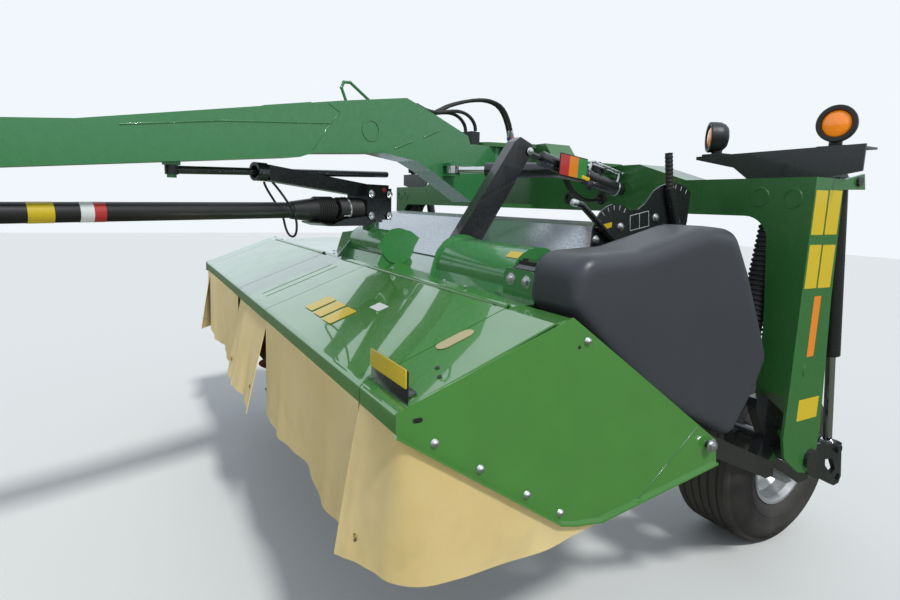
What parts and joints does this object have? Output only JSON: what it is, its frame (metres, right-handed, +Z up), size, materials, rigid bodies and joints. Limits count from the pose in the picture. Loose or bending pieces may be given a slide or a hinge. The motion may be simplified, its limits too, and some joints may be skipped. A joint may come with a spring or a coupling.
{
  "type": "trailed disc mower conditioner",
  "caption": "Trailed disc mower conditioner with a centre-pivot drawbar, hinged hood lids, cloth curtains, lift wheels and a swivel gearbox",
  "frame": {"origin": "On the ground, under the middle of the bounding box", "axes": "+X to the machine's left, -Y forward along the line of travel, +Z up"},
  "size_m": [4.222, 7.7951, 2.567],
  "materials": {
    "frame_green": "gloss green paint over welded plate",
    "hood_green": "high gloss green paint over pressed sheet",
    "black_paint": "semi gloss black paint",
    "dark_steel": "dark grey paint, worn",
    "disc_red": "red painted steel, worn at the rim",
    "galvanised": "bright zinc coated sheet",
    "rod_chrome": "polished hard chrome",
    "rim_silver": "silver paint",
    "grey_plastic": "moulded dark grey plastic, fine grain",
    "black_plastic": "black moulded plastic",
    "black_rubber": "black rubber",
    "tyre": "black tyre rubber",
    "curtain": "coated yellow cloth",
    "amber_lens": "clear amber and red plastic lens"
  },
  "bodies": {
    "frame": {"main_beam": "frame_green", "leg_left": "frame_green", "leg_right": "frame_green", "light_brackets": "black_paint", "lamp_housings": "black_plastic", "lamp_lenses": "amber_lens", "hood_deck": "hood_green", "end_sections": "hood_green", "side_curtains": "curtain", "centre_curtain": "curtain", "cutter_bar": "dark_steel", "conditioner_cover": "galvanised", "conditioner_sides": "black_paint", "drive_guards": "frame_green", "belt_cover": "grey_plastic", "lift_arm": "black_paint", "tie_cylinder": "black_paint", "quadrant": "black_paint", "relief_springs": "black_paint", "lower_links": "black_paint", "rocker_cranks": "black_paint", "belt_gearbox": "black_paint"},
    "drawbar": {"drawbar": "frame_green", "tractor_shaft": "black_plastic", "valve_block": "black_paint", "hoses": "black_rubber"},
    "gearbox": {"swivel_gearbox": "black_paint", "joint_boot": "black_rubber"},
    "steering_rod": {"steering_rod": "black_paint"},
    "shaft_rear": {"shaft_rear": "black_plastic"},
    "shaft_front": {"shaft_front": "black_plastic"},
    "hitch_yoke": {"hitch_yoke": "frame_green"},
    "jack_leg": {"jack_leg": "galvanised"},
    "swing_barrel": {"swing_barrel": "black_paint"},
    "swing_rod": {"swing_rod": "rod_chrome"},
    "tine_rotor": {"tine_rotor": "dark_steel"},
    "wheel_arm_left": {"wheel_arm_left": "black_paint"},
    "wheel_left": {"tyre_left": "tyre", "rim_left": "rim_silver"},
    "lift_barrel_left": {"lift_barrel_left": "black_paint"},
    "lift_rod_left": {"lift_rod_left": "rod_chrome"},
    "lid_left": {"lid_left": "hood_green"},
    "lid_curtain_left": {"lid_curtain_left": "curtain"},
    "wheel_arm_right": {"wheel_arm_right": "black_paint"},
    "wheel_right": {"tyre_right": "tyre", "rim_right": "rim_silver"},
    "lift_barrel_right": {"lift_barrel_right": "black_paint"},
    "lift_rod_right": {"lift_rod_right": "rod_chrome"},
    "lid_right": {"lid_right": "hood_green"},
    "lid_curtain_right": {"lid_curtain_right": "curtain"},
    "disc_1": {"disc_1": "disc_red"},
    "disc_2": {"disc_2": "disc_red"},
    "disc_3": {"disc_3": "disc_red"},
    "disc_4": {"disc_4": "disc_red"},
    "disc_5": {"disc_5": "disc_red"},
    "disc_6": {"disc_6": "disc_red"},
    "disc_7": {"disc_7": "disc_red"},
    "disc_8": {"disc_8": "disc_red"}
  },
  "joints": [
    {"name": "drawbar_swing", "type": "hinge", "parent": "frame", "child": "drawbar", "pos_m": [0, 2.32869, 2.08], "axis": [0, 0, 1], "range_deg": [-33, 7]},
    {"name": "gearbox_turn", "type": "hinge", "parent": "frame", "child": "gearbox", "pos_m": [0, 1.49469, 1.87], "axis": [0, 0, 1], "range_deg": [-55.52, 12.01]},
    {"name": "steering_rod_turn", "type": "hinge", "parent": "drawbar", "child": "steering_rod", "pos_m": [0.4499, 0.37995, 2.005], "axis": [0, 0, 1], "range_deg": [-22.52, 5.01]},
    {"name": "shaft_rear_turn", "type": "hinge", "parent": "gearbox", "child": "shaft_rear", "pos_m": [0.11228, 1.21649, 1.838], "axis": [0, 0, 1], "range_deg": [-3.29, 14.38]},
    {"name": "shaft_front_turn", "type": "hinge", "parent": "drawbar", "child": "shaft_front", "pos_m": [0.80982, -1.17904, 1.79], "axis": [0, 0, 1], "range_deg": [-8.45, 2.03]},
    {"name": "swing_cylinder_turn", "type": "hinge", "parent": "frame", "child": "swing_barrel", "pos_m": [0.9, 2.45869, 2.09], "axis": [0, 0, 1], "range_deg": [-5.38, 1.38]},
    {"name": "swing_cylinder_stroke", "type": "slide", "parent": "swing_barrel", "child": "swing_rod", "axis": [-0.7735, -0.6338, 0], "range_m": [-0.0561, 0.2571]},
    {"name": "yoke_swivel", "type": "hinge", "parent": "drawbar", "child": "hitch_yoke", "pos_m": [1.3722, -3.61497, 1.08], "axis": [0, 0, 1], "range_deg": [-50, 50]},
    {"name": "jack_stroke", "type": "slide", "parent": "drawbar", "child": "jack_leg", "axis": [0, 0, 1], "range_m": [0, 0.35]},
    {"name": "wheel_arm_left_lift", "type": "hinge", "parent": "frame", "child": "wheel_arm_left", "pos_m": [1.93, 2.77869, 0.82], "axis": [1, 0, 0], "range_deg": [0, 36]},
    {"name": "wheel_left_roll", "type": "hinge", "parent": "wheel_arm_left", "child": "wheel_left", "pos_m": [1.395, 3.37369, 0.48], "axis": [-1, 0, 0], "continuous": true},
    {"name": "lift_cylinder_left_turn", "type": "hinge", "parent": "frame", "child": "lift_barrel_left", "pos_m": [1.93, 2.86869, 2.028], "axis": [1, 0, 0], "range_deg": [-0.372, 0.3]},
    {"name": "lift_cylinder_left_stroke", "type": "slide", "parent": "lift_barrel_left", "child": "lift_rod_left", "axis": [0, -0.1693, 0.9856], "range_m": [-0.002, 0.1897]},
    {"name": "lid_left_open", "type": "hinge", "parent": "frame", "child": "lid_left", "pos_m": [1.054, 1.31869, 1.545], "axis": [-1, 0, 0], "range_deg": [0, 65]},
    {"name": "lid_curtain_left_hang", "type": "hinge", "parent": "lid_left", "child": "lid_curtain_left", "pos_m": [1.054, 0.78469, 1.283], "axis": [-1, 0, 0], "range_deg": [-65.5, 0.5]},
    {"name": "wheel_arm_right_lift", "type": "hinge", "parent": "frame", "child": "wheel_arm_right", "pos_m": [-1.93, 2.77869, 0.82], "axis": [1, 0, 0], "range_deg": [0, 36]},
    {"name": "wheel_right_roll", "type": "hinge", "parent": "wheel_arm_right", "child": "wheel_right", "pos_m": [-1.395, 3.37369, 0.48], "axis": [-1, 0, 0], "continuous": true},
    {"name": "lift_cylinder_right_turn", "type": "hinge", "parent": "frame", "child": "lift_barrel_right", "pos_m": [-1.93, 2.86869, 2.028], "axis": [1, 0, 0], "range_deg": [-0.372, 0.3]},
    {"name": "lift_cylinder_right_stroke", "type": "slide", "parent": "lift_barrel_right", "child": "lift_rod_right", "axis": [0, -0.1693, 0.9856], "range_m": [-0.002, 0.1897]},
    {"name": "lid_right_open", "type": "hinge", "parent": "frame", "child": "lid_right", "pos_m": [-1.054, 1.31869, 1.545], "axis": [-1, 0, 0], "range_deg": [0, 65]},
    {"name": "lid_curtain_right_hang", "type": "hinge", "parent": "lid_right", "child": "lid_curtain_right", "pos_m": [-1.054, 0.78469, 1.283], "axis": [-1, 0, 0], "range_deg": [-65.5, 0.5]},
    {"name": "disc_1_spin", "type": "hinge", "parent": "frame", "child": "disc_1", "pos_m": [-1.708, 1.05369, 0.876], "axis": [0, 0, 1], "continuous": true},
    {"name": "disc_2_spin", "type": "hinge", "parent": "frame", "child": "disc_2", "pos_m": [-1.22, 1.05369, 0.876], "axis": [0, 0, 1], "continuous": true},
    {"name": "disc_3_spin", "type": "hinge", "parent": "frame", "child": "disc_3", "pos_m": [-0.732, 1.05369, 0.876], "axis": [0, 0, 1], "continuous": true},
    {"name": "disc_4_spin", "type": "hinge", "parent": "frame", "child": "disc_4", "pos_m": [-0.244, 1.05369, 0.876], "axis": [0, 0, 1], "continuous": true},
    {"name": "disc_5_spin", "type": "hinge", "parent": "frame", "child": "disc_5", "pos_m": [0.244, 1.05369, 0.876], "axis": [0, 0, 1], "continuous": true},
    {"name": "disc_6_spin", "type": "hinge", "parent": "frame", "child": "disc_6", "pos_m": [0.732, 1.05369, 0.876], "axis": [0, 0, 1], "continuous": true},
    {"name": "disc_7_spin", "type": "hinge", "parent": "frame", "child": "disc_7", "pos_m": [1.22, 1.05369, 0.876], "axis": [0, 0, 1], "continuous": true},
    {"name": "disc_8_spin", "type": "hinge", "parent": "frame", "child": "disc_8", "pos_m": [1.708, 1.05369, 0.876], "axis": [0, 0, 1], "continuous": true},
    {"name": "rotor_spin", "type": "hinge", "parent": "frame", "child": "tine_rotor", "pos_m": [0, 1.52869, 1.09], "axis": [1, 0, 0], "continuous": true}
  ],
  "couplings": [
    {"joint": "gearbox_turn", "follows": "drawbar_swing", "ratio": 1.6734},
    {"joint": "steering_rod_turn", "follows": "drawbar_swing", "ratio": 0.6734},
    {"joint": "shaft_rear_turn", "follows": "drawbar_swing", "ratio": -0.4265},
    {"joint": "shaft_front_turn", "follows": "drawbar_swing", "ratio": 0.2469},
    {"joint": "swing_cylinder_turn", "follows": "drawbar_swing", "ratio": 0.1539},
    {"joint": "swing_cylinder_stroke", "follows": "drawbar_swing", "m_per_rad": -0.4429},
    {"joint": "lift_cylinder_left_turn", "follows": "wheel_arm_left_lift", "ratio": -0.002},
    {"joint": "lift_cylinder_left_stroke", "follows": "wheel_arm_left_lift", "m_per_rad": 0.2988},
    {"joint": "lid_curtain_left_hang", "follows": "lid_left_open", "ratio": -1},
    {"joint": "lift_cylinder_right_turn", "follows": "wheel_arm_right_lift", "ratio": -0.002},
    {"joint": "lift_cylinder_right_stroke", "follows": "wheel_arm_right_lift", "m_per_rad": 0.2988},
    {"joint": "lid_curtain_right_hang", "follows": "lid_right_open", "ratio": -1},
    {"joint": "disc_2_spin", "follows": "disc_1_spin", "ratio": -1},
    {"joint": "disc_3_spin", "follows": "disc_1_spin", "ratio": 1},
    {"joint": "disc_4_spin", "follows": "disc_1_spin", "ratio": -1},
    {"joint": "disc_5_spin", "follows": "disc_1_spin", "ratio": 1},
    {"joint": "disc_6_spin", "follows": "disc_1_spin", "ratio": -1},
    {"joint": "disc_7_spin", "follows": "disc_1_spin", "ratio": 1},
    {"joint": "disc_8_spin", "follows": "disc_1_spin", "ratio": -1}
  ]
}
